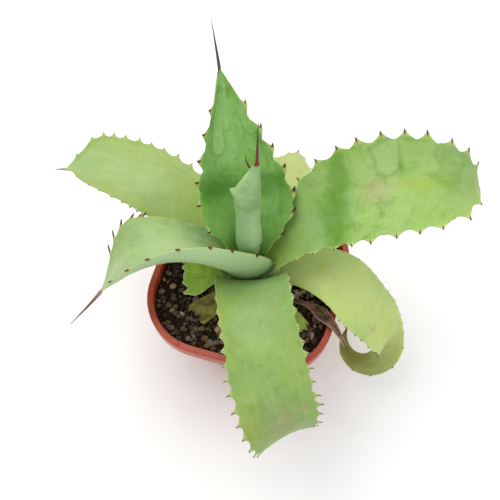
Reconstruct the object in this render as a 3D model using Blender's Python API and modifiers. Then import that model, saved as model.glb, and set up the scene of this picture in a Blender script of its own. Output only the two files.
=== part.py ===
# Potted agave: a short-stemmed agave with toothed leaves, planted in a soft-cornered nursery pot.
# Units are metres, +Z is up, and the origin is the centre of the pot's underside.
import math

import bmesh
import bpy
import numpy as np

# Driving dimensions of the pot
POT_SIDE = 0.128          # across the flats, outside the lip
POT_CORNER = 0.041        # corner radius at the lip
POT_HEIGHT = 0.095
FOOT_SIDE = 0.084         # across the flats at the underside
FOOT_CORNER = 0.034
POT_TURN = -16.0          # degrees about +Z
WALL = 0.0016
FLOOR = 0.0025
LIP_HEIGHT = 0.012
LIP_OUT = 0.003           # how far the lip stands out from the wall
LIP_DRAFT = 0.001         # how much narrower the lip is at its lower edge
LIP_ROUND = 0.0012        # softened upper edge of the lip
FOOT_ROUND = 0.002        # softened edge of the underside
DRAIN_RADIUS = 0.004
DRAIN_RING = 0.022
DRAIN_COUNT = 4

# Soil, stem and stones
SOIL_DROP = 0.010         # soil surface below the rim
STEM_RADIUS = 0.0125      # at the soil surface
STEM_TOP_RADIUS = 0.0040
STEM_HEIGHT = 0.027       # above the soil
STEM_DEPTH = 0.015        # planted below the soil surface
GAP = 0.0003              # clearance between pieces that touch
STONE_COUNT = 22
STONE_SIZE = 0.0055       # mean width of a stone
STONE_FLATNESS = 0.62     # height of a stone to its length
STONE_CLEAR = 0.022       # bare ring round the stem, which the lowest leaves cover
DRY_INSET = 0.036         # start of the dried leaf, inward from the pot's outer face
DRY_DROP = 0.004          # and below the rim

# Leaves
LEAF_THICK = 0.0050       # at the middle of a leaf's base
THIN_BY = 0.62            # share of that thickness lost by the tip
EDGE_THICK = 0.0012       # at a leaf's margin
STUB_THICK = 0.0034       # of the leaves that were cut off
DRY_THICK = 0.0014        # of the dried leaf
TOOTH_HEIGHT = 0.0026     # of the teeth nearest the base
TEETH_SHRINK = 0.4        # share of that height lost by the tip
TEETH_FROM = 0.16         # shares of the length between which the margins have teeth
TEETH_TO = 0.965
TOOTH_PARTS = (0.0, 0.30, 0.52)   # start, point and end of a tooth, as shares of their spacing
BARE_PARTS = (0.0, 0.055, 0.11)   # sections of the toothless base, as shares of the length
SPINE_TAPER = 0.85        # share of a spine's radius lost by its point
TRIM_UNTIL = 0.35         # share of the length over which a trimmed base widens out
HOOK_FROM, HOOK_TO = 0.52, 0.74   # share of the curled leaf where its inner side draws in

# Fineness of the surfaces
COLUMNS = 5               # points across each face of a leaf
STUB_SECTIONS = 12
SPINE_STEPS = 5
BUD_POINTS = 14           # points round the bud
STEM_STEPS = 28
CORNER_STEPS = 7          # points round each corner of the pot

# Each leaf: the direction it leaves the stem (at, degrees from +X), how far its base stands out
# from the stem (out) and up from the soil (rise), its length without the spine, and along that
# length the climb, turn and roll of its middle line in degrees. half, base and widest_at give its
# half width, taper how blunt its end is, cup the half angle of the arc that its section follows,
# and trim how much narrower its left and right sides are at the base, where a neighbour sits. hook
# is how much narrower the inner side of a curled end is.
LEAVES = {
    "tall_leaf": dict(
        at=90, out=0.0005, rise=0.027, length=0.125, climb=(75, 36, 39, 50), turn=(0, 15, 12, 12),
        roll=(5, 7, 40), half=0.0332, base=0.0119, widest_at=0.30, taper=1.36, cup=(71, 33, 21),
        trim=(0, 0), teeth=10, spine=0.032, spine_radius=0.0016, spine_to=(104, 52),
        colour=(0.21, 0.40, 0.16)),
    "right_leaf": dict(
        at=24, out=0.0035, rise=0.017, length=0.176, climb=(65, 40, 11, -62), turn=(0, -8, -24, 8),
        roll=(-5, 9, 33), half=0.0320, base=0.0151, widest_at=0.51, taper=2.6, cup=(57, 33, 27),
        trim=(0.5, 0), teeth=13, spine=0.005, spine_radius=0.0012, spine_to=(0, -60),
        colour=(0.33, 0.52, 0.22)),
    "left_leaf": dict(
        at=138, out=0.002, rise=0.0110, length=0.136, climb=(32, 17, 17, 0), turn=(0, -1, 32, 45),
        roll=(-11, 15, 33), half=0.0350, base=0.0150, widest_at=0.80, taper=3.2, cup=(52, 15, 36),
        trim=(0, 0), teeth=13, spine=0.008, spine_radius=0.0012, spine_to=(183, 0),
        colour=(0.42, 0.56, 0.25)),
    "folded_leaf": dict(
        at=210, out=0.0039, rise=0.024, length=0.134, climb=(73, 30, -17, -62, -57),
        turn=(-19, -30, -30, -29, -9), roll=(48, 45, 10, 29), half=0.0293, base=0.0300,
        widest_at=0.61, taper=1.05, cup=(83, 53, 28), trim=(0, 0), teeth=9, spine=0.034,
        spine_radius=0.0017, spine_to=(225, -14), colour=(0.30, 0.48, 0.27)),
    "front_leaf": dict(
        at=-86, out=0.003, rise=0.010, length=0.180, climb=(112, 31, -10, -36, -92, -131),
        turn=(0, 5, 8, 19, 3), roll=(-14, 16, 2, -19), half=0.0253, base=0.0240, widest_at=0.58,
        taper=2.3, cup=(29, 26, 14), trim=(0, 0), teeth=15, spine=0.006, spine_radius=0.0012,
        spine_to=(-83, -134), colour=(0.38, 0.54, 0.24)),
    "curled_leaf": dict(
        at=-10, out=0.0055, rise=0.008, length=0.185, climb=(42, 29, -29, -48, -94, -26, 35),
        turn=(0, -8, -23, -24, -60, -184, -289), roll=(1, 4, -4, -16, -24, -13), half=0.0214,
        base=0.0146, widest_at=0.25, taper=3.1, cup=(45, 5, 7, 14), trim=(0, 0.85), hook=0.62, teeth=14,
        spine=0.004, spine_radius=0.0010, spine_to=(60, 40), colour=(0.45, 0.58, 0.26)),
    "back_leaf": dict(
        at=69, out=0.0035, rise=0.007, length=0.084, climb=(25, 14, 4, -6), turn=(0, 0, 0),
        roll=(0, 0, 0), half=0.0165, base=0.0110, widest_at=0.70, taper=2.6, cup=(40, 20, 10),
        trim=(0, 0), teeth=8, spine=0.003, spine_radius=0.0009, spine_to=(69, -6),
        colour=(0.55, 0.66, 0.33)),
}

# What is left of four older leaves, with no end taper, teeth or spine: three were cut off near the
# stem, and the dried one lies across the rim, so its start follows the pot.
STUBS = {
    "cut_leaf_left": dict(
        at=178, out=0.007, rise=0.0045, length=0.0235, climb=(10, 10), turn=(0, 0), roll=(0, 8),
        half=0.0190, base=0.0065, widest_at=0.75, cup=(40, 16), trim=(0, 0), colour=(0.33, 0.50, 0.13)),
    "withered_stub": dict(
        at=219, out=0.009, rise=0.0045, length=0.023, climb=(8, 2), turn=(0, 0), roll=(0, 0),
        half=0.0085, base=0.0060, widest_at=0.9, cup=(30, 14), trim=(0, 0), colour=(0.42, 0.44, 0.13)),
    "cut_leaf_right": dict(
        at=-55, out=0.005, rise=0.0042, length=0.034, climb=(8, 2), turn=(0, 4), roll=(0, 0),
        half=0.0110, base=0.0080, widest_at=0.8, cup=(30, 18), trim=(0, 0), colour=(0.20, 0.30, 0.08)),
    "dry_leaf": dict(
        at=-29, out=POT_SIDE / 2 - DRY_INSET, rise=SOIL_DROP - DRY_DROP, length=0.046,
        climb=(30, 20, 6, -30, -62), turn=(0, -20, -20, -22), roll=(0, 10, 25),
        half=0.0060, base=0.0050, widest_at=0.3, cup=(20, 30), trim=(0, 0),
        colour=(0.20, 0.11, 0.06)),
}

# The rolled youngest leaf: where it starts from the middle of the soil surface, the way it points
# in degrees, and its radius at shares of its length. Above its shoulder it narrows by lean towards
# its right-hand side, where the spine stands.
BUD = dict(start=(-0.0005, -0.0020, 0.0276), climb=73.0, head=90.0, body=0.090,
           shares=(0.0, 0.12, 0.28, 0.5, 0.72, 0.86, 0.95, 1.0),
           radii=(0.0022, 0.0045, 0.0080, 0.0078, 0.0078, 0.0056, 0.0030, 0.0014),
           shoulder=0.6, lean=0.0055, spine=0.028, spine_radius=0.0014, bend=1.0)


def along(values, u):
    """Values at equal steps along a leaf, joined by a smooth curve through them and read at u."""
    v = np.asarray(values, float)
    steps = len(v) - 1
    x = np.clip(u, 0.0, 1.0) * steps
    i = np.minimum(x.astype(int), steps - 1)
    t = x - i
    p = np.concatenate([[2 * v[0] - v[1]], v, [2 * v[-1] - v[-2]]])
    a, b, c, d = p[i], p[i + 1], p[i + 2], p[i + 3]
    return b + t / 2 * ((c - a) + t * ((2 * a - 5 * b + 4 * c - d) + t * (3 * (b - c) + d - a)))


def half_width(leaf, u):
    """Half width of the blade: an S-shaped rise from the base, then a blunt or sharp close."""
    x = np.clip(u / leaf["widest_at"], 0.0, 1.0)
    rise = leaf["base"] + (leaf["half"] - leaf["base"]) * x * x * (3 - 2 * x)
    if "taper" not in leaf:
        return rise
    y = np.clip((u - leaf["widest_at"]) / (1 - leaf["widest_at"]), 0.0, 1.0)
    return np.where(u < leaf["widest_at"], rise, leaf["half"] * (1 - y ** leaf["taper"]))


def middle_line(leaf, u):
    """Middle line, its direction, and the directions across and out of the blade, at each u."""
    fine = np.linspace(0.0, 1.0, 201)
    climb = np.radians(along(leaf["climb"], fine))
    head = np.radians(leaf["at"] + along(leaf["turn"], fine))
    roll = np.radians(along(leaf["roll"], fine))
    ahead = np.stack([np.cos(climb) * np.cos(head), np.cos(climb) * np.sin(head), np.sin(climb)], 1)
    side = np.stack([-np.sin(head), np.cos(head), 0 * head], 1)
    up = np.cross(ahead, side)
    across = side * np.cos(roll)[:, None] + up * np.sin(roll)[:, None]
    out = up * np.cos(roll)[:, None] - side * np.sin(roll)[:, None]
    step = leaf["length"] / (len(fine) - 1)
    line = np.zeros((len(fine), 3))
    line[1:] = np.cumsum((ahead[1:] + ahead[:-1]) / 2 * step, 0)
    start = stem_radius_at(leaf["rise"]) + leaf["out"] + LEAF_THICK / 2
    turn = math.radians(leaf["at"])
    line += (start * math.cos(turn), start * math.sin(turn), SOIL_TOP + leaf["rise"])
    return [np.stack([np.interp(u, fine, v[:, k]) for k in range(3)], 1)
            for v in (line, ahead, across, out)]


def stem_radius_at(rise):
    """Outer radius of the stem at a height above the soil; it tapers to its top."""
    share = min(max(rise / STEM_HEIGHT, 0.0), 1.0)
    return STEM_RADIUS + (STEM_TOP_RADIUS - STEM_RADIUS) * share


def stations(leaf):
    """Where the blade has a section, and how far the margin stands out there as a tooth."""
    if not leaf.get("teeth"):
        u = np.linspace(0.0, 1.0, STUB_SECTIONS)
        return u, 0 * u
    pitch = (TEETH_TO - TEETH_FROM) / leaf["teeth"]
    starts = TEETH_FROM + pitch * np.arange(leaf["teeth"])
    toothed = (starts[:, None] + pitch * np.array(TOOTH_PARTS)).ravel()
    u = np.concatenate([BARE_PARTS, toothed, [TEETH_TO, 1.0]])
    tooth = np.concatenate([[0.0] * len(BARE_PARTS), np.tile([0.0, 1.0, 0.0], leaf["teeth"]), [0.0, 0.0]])
    return u, tooth


def blade_rings(leaf, thick):
    """Closed section rings of a leaf: its upper face from edge to edge, then its lower face back."""
    u, tooth = stations(leaf)
    centre, ahead, across, out = middle_line(leaf, u)
    tip_half = leaf.get("spine_radius", 0.0)
    width = half_width(leaf, u) + TOOTH_HEIGHT * tooth * (1 - TEETH_SHRINK * u)
    width = np.maximum(width, tip_half)[:, None]
    cup = np.radians(np.maximum(along(leaf["cup"], u), 2.0))[:, None]
    v = np.linspace(-1.0, 1.0, COLUMNS)[None, :]
    kept = 1 - np.clip(1 - u / TRIM_UNTIL, 0.0, 1.0)[:, None] * np.where(v > 0, *leaf["trim"])
    hooked = np.clip((u - HOOK_FROM) / (HOOK_TO - HOOK_FROM), 0.0, 1.0)[:, None]
    kept = kept - hooked * np.where(v > 0, 0.0, leaf.get("hook", 0.0))
    angle = cup * v * kept
    lean = across[:, None, :] * np.cos(angle)[..., None] + out[:, None, :] * np.sin(angle)[..., None]
    normal = np.cross(ahead[:, None, :], lean)
    face = (centre[:, None, :] + across[:, None, :] * (width / cup * np.sin(angle))[..., None]
            + out[:, None, :] * (width / cup * (1 - np.cos(angle)))[..., None])
    edge = min(EDGE_THICK, thick)
    body = edge + (thick * (1 - THIN_BY * u[:, None]) - edge) * (1 - v * v)
    body = np.maximum(body, edge)
    half = (body / 2)[..., None]
    return np.concatenate([face + normal * half, (face - normal * half)[:, ::-1]], 1)


def direction(azimuth, climb):
    turn, lift = math.radians(azimuth), math.radians(climb)
    return np.array([math.cos(lift) * math.cos(turn), math.cos(lift) * math.sin(turn), math.sin(lift)])


def spine_rings(leaf):
    """Round rings from the end of the blade to the point of its spine, which bends to spine_to."""
    centre, ahead, across, out = (v[0] for v in middle_line(leaf, np.array([1.0])))
    share = np.linspace(0.0, 1.0, SPINE_STEPS + 1)[:, None]
    way = ahead + (direction(*leaf["spine_to"]) - ahead) * np.minimum(share * 2, 1.0)
    way /= np.linalg.norm(way, axis=1)[:, None]
    steps = (way[1:] + way[:-1]) / 2 * leaf["spine"] / SPINE_STEPS
    line = centre + np.cumsum(steps, 0)
    radius = leaf["spine_radius"] * (1 - SPINE_TAPER * share[1:])
    turn = np.concatenate([np.linspace(165, 15, COLUMNS), np.linspace(-15, -165, COLUMNS)])
    turn = np.radians(turn)
    rings = []
    for point, r, towards in zip(line, radius, way[1:]):
        over = np.cross(towards, np.cross(out, towards))
        over /= np.linalg.norm(over)
        beside = np.cross(over, towards)
        rings.append(point + r * (beside * np.cos(turn)[:, None] + over * np.sin(turn)[:, None]))
    return np.array(rings)


def rounded_square(side, corner, z):
    """One ring of points round a square with round corners."""
    reach = side / 2 - corner
    turn = np.radians(np.linspace(0, 90, CORNER_STEPS))
    points = []
    for quarter in range(4):
        angle = turn + quarter * math.pi / 2
        mid = (quarter + 0.5) * math.pi / 2
        x = reach * math.sqrt(2) * math.cos(mid) + corner * np.cos(angle)
        y = reach * math.sqrt(2) * math.sin(mid) + corner * np.sin(angle)
        points.append(np.stack([x, y, np.full(CORNER_STEPS, z)], 1))
    return np.concatenate(points)


def new_collection(name):
    collection = bpy.data.collections.new(name)
    bpy.context.scene.collection.children.link(collection)
    return collection


def material(name, colour, roughness):
    made = bpy.data.materials.new(name)
    made.use_nodes = True
    shader = made.node_tree.nodes["Principled BSDF"]
    shader.inputs["Base Color"].default_value = (*colour, 1.0)
    shader.inputs["Roughness"].default_value = roughness
    shader.inputs["Metallic"].default_value = 0.0
    return made


def finish(name, bm, look, smooth_angle=40.0):
    """Turns a bmesh into a named object in the part's collection, faces out and shaded smooth."""
    bmesh.ops.recalc_face_normals(bm, faces=bm.faces)
    mesh = bpy.data.meshes.new(name)
    bm.to_mesh(mesh)
    bm.free()
    mesh.materials.append(look)
    mesh.shade_smooth()
    mesh.set_sharp_from_angle(angle=math.radians(smooth_angle))
    made = bpy.data.objects.new(name, mesh)
    PART.objects.link(made)
    return made


def loft(rings, cap_start, cap_end):
    """A skin through rings of equal count; a cap is 'fan' for a round end or 'strip' for a blade's."""
    bm = bmesh.new()
    rows = [[bm.verts.new(point) for point in ring] for ring in rings]
    count = len(rows[0])
    for first, second in zip(rows[:-1], rows[1:]):
        for i in range(count):
            j = (i + 1) % count
            bm.faces.new((first[i], first[j], second[j], second[i]))
    for row, cap in ((rows[0], cap_start), (rows[-1], cap_end)):
        if cap == "fan":
            middle = bm.verts.new(sum((v.co for v in row), row[0].co * 0) / count)
            for i in range(count):
                bm.faces.new((row[i], row[(i + 1) % count], middle))
        else:
            for i in range(count // 2 - 1):
                bm.faces.new((row[i], row[i + 1], row[count - 2 - i], row[count - 1 - i]))
    return bm


def wall_at(z):
    """Side and corner radius of the pot's outer wall at a height, below the lip."""
    share = z / (POT_HEIGHT - LIP_HEIGHT)
    top_side = POT_SIDE - 2 * LIP_OUT
    top_corner = POT_CORNER - LIP_OUT
    return FOOT_SIDE + (top_side - FOOT_SIDE) * share, FOOT_CORNER + (top_corner - FOOT_CORNER) * share


def turned(made):
    made.rotation_euler.z = math.radians(POT_TURN)
    return made


def build_pot():
    lip_foot = POT_HEIGHT - LIP_HEIGHT
    foot_side, foot_corner = wall_at(0.0)
    outer = [(foot_side - 2 * FOOT_ROUND, foot_corner - FOOT_ROUND, 0.0)]
    outer += [(*wall_at(z), z) for z in (FOOT_ROUND, lip_foot)]
    lip = [(POT_SIDE - LIP_DRAFT, POT_CORNER - LIP_DRAFT / 2, lip_foot),
           (POT_SIDE, POT_CORNER, POT_HEIGHT - LIP_ROUND),
           (POT_SIDE - LIP_ROUND, POT_CORNER - LIP_ROUND / 2, POT_HEIGHT)]
    # The lip is a turned-down band: its inner face lines up with the inside of the wall.
    inner = []
    for z in (POT_HEIGHT, lip_foot, FLOOR):
        side, corner = wall_at(min(z, lip_foot))
        inner.append((side - 2 * WALL, corner - WALL, z))
    rings = [rounded_square(side, corner, z) for side, corner, z in outer + lip + inner]
    pot = finish("pot", loft(rings, "fan", "fan"), material("pot_plastic", (0.42, 0.13, 0.075), 0.5))
    for hole in range(DRAIN_COUNT):
        turn = math.radians(45 + hole * 360 / DRAIN_COUNT)
        bm = bmesh.new()
        bmesh.ops.create_cone(bm, cap_ends=True, segments=16, radius1=DRAIN_RADIUS,
                              radius2=DRAIN_RADIUS, depth=6 * FLOOR)
        mesh = bpy.data.meshes.new(f"drain_{hole + 1}")
        bm.to_mesh(mesh)
        bm.free()
        cutter = bpy.data.objects.new(mesh.name, mesh)
        cutter.location = (DRAIN_RING * math.cos(turn), DRAIN_RING * math.sin(turn), 0.0)
        cutter.hide_render = True
        cutter.display_type = "WIRE"
        CUTTERS.objects.link(cutter)
        cut = pot.modifiers.new(f"drain_{hole + 1}", "BOOLEAN")
        cut.operation = "DIFFERENCE"
        cut.object = cutter
    turned(pot)


def build_soil():
    """Fills the pot from its floor, GAP inside its wall, with a well round the planted stem."""
    lip_foot = POT_HEIGHT - LIP_HEIGHT
    rings = []
    for z in sorted({FLOOR + GAP, min(lip_foot, SOIL_TOP), SOIL_TOP}):
        side, corner = wall_at(min(z, lip_foot))
        inset = WALL + GAP
        rings.append(rounded_square(side - 2 * inset, corner - inset, z))
    well = STEM_RADIUS + GAP
    side, corner = wall_at(min(SOIL_TOP, lip_foot))
    for share in (0.66, 0.33):
        reach = well + (side / 2 - WALL - GAP - well) * share
        rings.append(rounded_square(2 * reach, reach * (0.75 + 0.25 * (1 - share)), SOIL_TOP))
    rings.append(rounded_square(2 * well, well, SOIL_TOP))
    rings.append(rounded_square(2 * well, well, SOIL_TOP - STEM_DEPTH))
    turned(finish("soil", loft(rings, "fan", "fan"), material("potting_mix", (0.045, 0.036, 0.030), 0.95)))


def build_stem():
    profile = [(0.0, STEM_HEIGHT), (STEM_TOP_RADIUS, STEM_HEIGHT), (STEM_RADIUS, 0.0),
               (STEM_RADIUS, GAP - STEM_DEPTH), (0.0, GAP - STEM_DEPTH)]
    mesh = bpy.data.meshes.new("stem")
    mesh.from_pydata([(x, 0.0, z) for x, z in profile], [(i, i + 1) for i in range(len(profile) - 1)], [])
    mesh.materials.append(material("stem_tissue", (0.50, 0.50, 0.30), 0.7))
    made = bpy.data.objects.new("stem", mesh)
    made.location.z = SOIL_TOP
    PART.objects.link(made)
    turn = made.modifiers.new("turn", "SCREW")
    turn.steps = turn.render_steps = STEM_STEPS
    turn.use_merge_vertices = True
    turn.merge_threshold = 1e-5
    turn.use_smooth_shade = True


def build_bud():
    """The rolled youngest leaf: a slim cone that ends in an oblique shoulder and a spine."""
    climb, head = math.radians(BUD["climb"]), math.radians(BUD["head"])
    ahead = np.array([math.cos(climb) * math.cos(head), math.cos(climb) * math.sin(head), math.sin(climb)])
    side = np.array([-math.sin(head), math.cos(head), 0.0])
    up = np.cross(ahead, side)
    start = np.array(BUD["start"]) + (0.0, 0.0, SOIL_TOP)
    turn = np.linspace(0, 2 * math.pi, BUD_POINTS, endpoint=False)
    ring = side * np.cos(turn)[:, None] + up * np.sin(turn)[:, None]
    shares = np.array(BUD["shares"])
    leans = BUD["lean"] * np.clip((shares - BUD["shoulder"]) / (1 - BUD["shoulder"]), 0.0, 1.0) ** 1.5
    rings = [start + ahead * BUD["body"] * share - side * lean + ring * radius
             for share, radius, lean in zip(shares, BUD["radii"], leans)]
    tip = start + ahead * BUD["body"] - side * BUD["lean"]
    for share in np.linspace(0, 1, SPINE_STEPS + 1)[1:]:
        bend = math.radians(BUD["bend"]) * share
        way = ahead * math.cos(bend) - side * math.sin(bend)
        radius = BUD["spine_radius"] * (1 - SPINE_TAPER * share)
        rings.append(tip + way * BUD["spine"] * share + ring * radius)
    finish("bud_leaf", loft(rings, "fan", "fan"), material("bud_skin", (0.30, 0.44, 0.33), 0.6))


def build_leaves():
    for name, leaf in LEAVES.items():
        rings = np.concatenate([blade_rings(leaf, LEAF_THICK), spine_rings(leaf)])
        finish(name, loft(rings, "strip", "strip"), material(f"{name}_skin", leaf["colour"], 0.5), 60.0)
    for name, leaf in STUBS.items():
        thick = DRY_THICK if name == "dry_leaf" else STUB_THICK
        finish(name, loft(blade_rings(leaf, thick), "strip", "strip"),
               material(f"{name}_skin", leaf["colour"], 0.6), 60.0)


def build_stones():
    """Loose gravel: lumps of uneven size, spread over the soil in turns of the golden angle."""
    rng = np.random.default_rng(7)
    look = [material("stone_tan", (0.30, 0.23, 0.16), 0.9), material("stone_grey", (0.22, 0.21, 0.20), 0.9)]
    side, _ = wall_at(POT_HEIGHT - LIP_HEIGHT)
    inner, outer = STEM_RADIUS + STONE_CLEAR, side / 2 - WALL - STONE_SIZE
    for count in range(STONE_COUNT):
        share = (count + 0.5) / STONE_COUNT
        reach = inner + (outer - inner) * math.sqrt(share)
        turn = count * math.radians(137.5)
        size = STONE_SIZE * rng.uniform(0.65, 1.15) * np.array([1.0, rng.uniform(0.7, 0.95), STONE_FLATNESS])
        bm = bmesh.new()
        bmesh.ops.create_icosphere(bm, subdivisions=2, radius=0.5)
        for vertex in bm.verts:
            vertex.co *= rng.uniform(0.90, 1.06)
            vertex.co.x *= size[0]
            vertex.co.y *= size[1]
            vertex.co.z *= size[2]
        low = min(vertex.co.z for vertex in bm.verts)
        stone = finish(f"stone_{count + 1:02d}", bm, look[count % 2], 30.0)
        stone.location = (reach * math.cos(turn), reach * math.sin(turn), SOIL_TOP + GAP - low)


for old in list(bpy.data.objects):
    bpy.data.objects.remove(old)
SOIL_TOP = POT_HEIGHT - SOIL_DROP
PART = new_collection("potted_agave")
CUTTERS = new_collection("cutters")
build_pot()
build_soil()
build_stem()
build_bud()
build_leaves()
build_stones()
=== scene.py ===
# Looks of a potted agave: fine leaves, bud, stem, soil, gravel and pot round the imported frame.
import math
import bmesh
import bpy
import numpy as np
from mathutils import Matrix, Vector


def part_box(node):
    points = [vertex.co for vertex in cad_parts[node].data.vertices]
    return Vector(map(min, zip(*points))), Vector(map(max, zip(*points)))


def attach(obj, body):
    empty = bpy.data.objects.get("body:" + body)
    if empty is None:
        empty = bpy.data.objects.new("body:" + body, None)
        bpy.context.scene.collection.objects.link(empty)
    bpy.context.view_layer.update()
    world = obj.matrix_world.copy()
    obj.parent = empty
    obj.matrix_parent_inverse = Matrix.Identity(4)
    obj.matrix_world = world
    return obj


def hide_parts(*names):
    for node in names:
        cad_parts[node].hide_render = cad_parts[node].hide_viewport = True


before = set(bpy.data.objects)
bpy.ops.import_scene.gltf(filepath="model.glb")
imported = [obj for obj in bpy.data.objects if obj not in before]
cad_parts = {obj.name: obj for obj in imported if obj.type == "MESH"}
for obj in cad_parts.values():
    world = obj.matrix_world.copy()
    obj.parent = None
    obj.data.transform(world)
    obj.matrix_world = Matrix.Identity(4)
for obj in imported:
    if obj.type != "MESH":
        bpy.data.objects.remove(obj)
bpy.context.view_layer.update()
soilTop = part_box("soil")[1].z
print("frame loaded, soil surface at", round(soilTop, 4))


def shade(red, green, blue):
    # a colour as the eye reads it, 0 to 255, to the linear value that a shader takes
    value = np.array([red, green, blue]) / 255.0
    linear = np.where(value <= 0.04045, value / 12.92, ((value + 0.055) / 1.055) ** 2.4)
    return tuple(float(v) for v in linear)


def ease(low, high, x):
    # 0 below low, 1 above high, and the S-curve 3t^2 - 2t^3 between
    t = np.clip((x - low) / (high - low), 0.0, 1.0)
    return t * t * (3 - 2 * t)


def rough(x, y, seed):
    # smooth noise in -1..1: random heights on a unit lattice, joined by S-curves
    table = np.random.default_rng(seed).uniform(-1, 1, (64, 64))
    i, j = np.floor(x).astype(int), np.floor(y).astype(int)
    s, t = ease(0, 1, x - i), ease(0, 1, y - j)
    i, j, k, l = i % 64, j % 64, (i + 1) % 64, (j + 1) % 64
    return ((table[i, j] * (1 - s) + table[k, j] * s) * (1 - t)
            + (table[i, l] * (1 - s) + table[k, l] * s) * t)


def along(values, u):
    # values at equal steps joined by a smooth curve through them (Catmull-Rom), read at u in 0..1
    v = np.asarray(values, float)
    x = np.clip(u, 0.0, 1.0) * (len(v) - 1)
    i = np.minimum(x.astype(int), len(v) - 2)
    t = x - i
    p = np.concatenate([[2 * v[0] - v[1]], v, [2 * v[-1] - v[-2]]])
    a, b, c, d = p[i], p[i + 1], p[i + 2], p[i + 3]
    return b + t / 2 * ((c - a) + t * ((2 * a - 5 * b + 4 * c - d) + t * (3 * (b - c) + d - a)))


def pointing(heading, climb):
    turn, lift = math.radians(heading), math.radians(climb)
    return np.array([math.cos(lift) * math.cos(turn), math.cos(lift) * math.sin(turn), math.sin(lift)])


def skin(name, points, faces, marks, finish, smooth=True, turnOut=True):
    # points (n,3) and faces as index rows into a mesh; marks are values kept at each point for the finish
    mesh = bpy.data.meshes.new(name)
    mesh.from_pydata(points.tolist(), [], faces)
    for mark, values in marks.items():
        kind = "FLOAT_VECTOR" if values.ndim == 2 else "FLOAT"
        layer = mesh.attributes.new(mark, kind, "POINT")
        layer.data.foreach_set("vector" if values.ndim == 2 else "value", values.astype(np.float32).ravel())
    if turnOut:
        bm = bmesh.new()
        bm.from_mesh(mesh)
        bmesh.ops.recalc_face_normals(bm, faces=bm.faces)
        bm.to_mesh(mesh)
        bm.free()
    if smooth:
        mesh.shade_smooth()
    mesh.materials.append(finish)
    made = bpy.data.objects.new(name, mesh)
    bpy.context.scene.collection.objects.link(made)
    return made


def tube(rings, columns):
    # faces of a skin over rings of equal count, one ring after another, with both ends left open
    first = np.arange(rings - 1)[:, None] * columns + np.arange(columns)[None, :]
    after = np.arange(rings - 1)[:, None] * columns + (np.arange(columns)[None, :] + 1) % columns
    quads = np.stack([first, after, after + columns, first + columns], -1).reshape(-1, 4)
    return quads.tolist()


def closedTube(rings, columns):
    # the same, with one face over each end
    last = (rings - 1) * columns
    return tube(rings, columns) + [list(range(columns)), list(range(last, last + columns))]


def wholeTurn(count):
    return np.linspace(0, 2 * np.pi, count, endpoint=False)


def stripCap(start, columns):
    # closes a flat end: the upper face's row against the lower face's row
    half = columns // 2
    i = np.arange(half - 1)
    return np.stack([start + i, start + i + 1, start + columns - 2 - i, start + columns - 1 - i], -1).tolist()


def place(piece, node):
    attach(piece, "root")
    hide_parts(*([node] if isinstance(node, str) else node))
    return piece


class Wire:
    # one socket in a material, which can stand in a sum
    def __init__(self, bench, socket):
        self.bench, self.socket = bench, socket

    def __add__(self, other):
        return self.bench.sum("ADD", self, other)

    def __sub__(self, other):
        return self.bench.sum("SUBTRACT", self, other)

    def __mul__(self, other):
        return self.bench.sum("MULTIPLY", self, other)

    __radd__, __rmul__ = __add__, __mul__


class Bench:
    # one material and the making of its nodes; fixed numbers go straight onto the shader's sockets
    def __init__(self, name, **fixed):
        self.material = bpy.data.materials.new(name)
        self.material.use_nodes = True
        self.tree = self.material.node_tree
        self.shader = self.tree.nodes["Principled BSDF"]
        for socket, value in fixed.items():
            self.shader.inputs[socket.replace("_", " ")].default_value = value

    def node(self, kind, settings, sockets, out=0):
        made = self.tree.nodes.new("ShaderNode" + kind)
        for name, value in settings.items():
            if name == "stops":
                ramp = made.color_ramp
                while len(ramp.elements) < len(value):
                    ramp.elements.new(0.5)
                for stop, (at, colour) in zip(ramp.elements, value):
                    stop.position = at
                    stop.color = (*colour, 1.0)
            else:
                setattr(made, name, value)
        for name, value in sockets.items():
            socket = made.inputs[name]
            if isinstance(value, Wire):
                self.tree.links.new(value.socket, socket)
            elif isinstance(value, tuple) and len(value) == 3 and socket.type == "RGBA":
                socket.default_value = (*value, 1.0)
            else:
                socket.default_value = value
        return Wire(self, made.outputs[out])

    def sum(self, operation, a, b=0.0):
        return self.node("Math", {"operation": operation}, {0: a, 1: b})

    def step(self, low, high, x):
        return self.node("MapRange", {"interpolation_type": "SMOOTHSTEP"},
                         {"Value": x, "From Min": low, "From Max": high})

    def mark(self, name, out="Fac"):
        return self.node("Attribute", {"attribute_name": name}, {}, out)

    def around(self):
        return self.node("TexCoord", {}, {}, "Object")

    def noise(self, vector, scale, detail=3.0, roughness=0.55, distortion=0.0):
        if isinstance(scale, tuple):          # stretched: a scale for each axis
            vector = self.node("VectorMath", {"operation": "MULTIPLY"}, {0: vector, 1: scale})
            scale = 1.0
        return self.node("TexNoise", {}, {"Vector": vector, "Scale": scale, "Detail": detail,
                                          "Roughness": roughness, "Distortion": distortion}, "Fac")

    def cells(self, vector, scale):
        return self.node("TexVoronoi", {"feature": "F1"}, {"Vector": vector, "Scale": scale}, "Distance")

    def coats(self, colour, *layers):
        # each layer over the last: how much of it shows, and its colour
        for factor, over in layers:
            colour = self.node("Mix", {"data_type": "RGBA", "blend_type": "MIX", "clamp_factor": True},
                               {0: factor, 6: colour, 7: over}, 2)
        return colour

    def ramp(self, x, stops):
        return self.node("ValToRGB", {"stops": stops}, {"Fac": x}, "Color")

    def bump(self, height, strength, distance):
        return self.node("Bump", {}, {"Height": height, "Strength": strength, "Distance": distance})

    def feed(self, **links):
        for socket, wire in links.items():
            self.tree.links.new(wire.socket, self.shader.inputs[socket.replace("_", " ")])
        return self.material


stemSize = {"radius": 0.0125, "topRadius": 0.004, "height": 0.027, "depth": 0.015, "rings": 60, "columns": 64}

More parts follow.
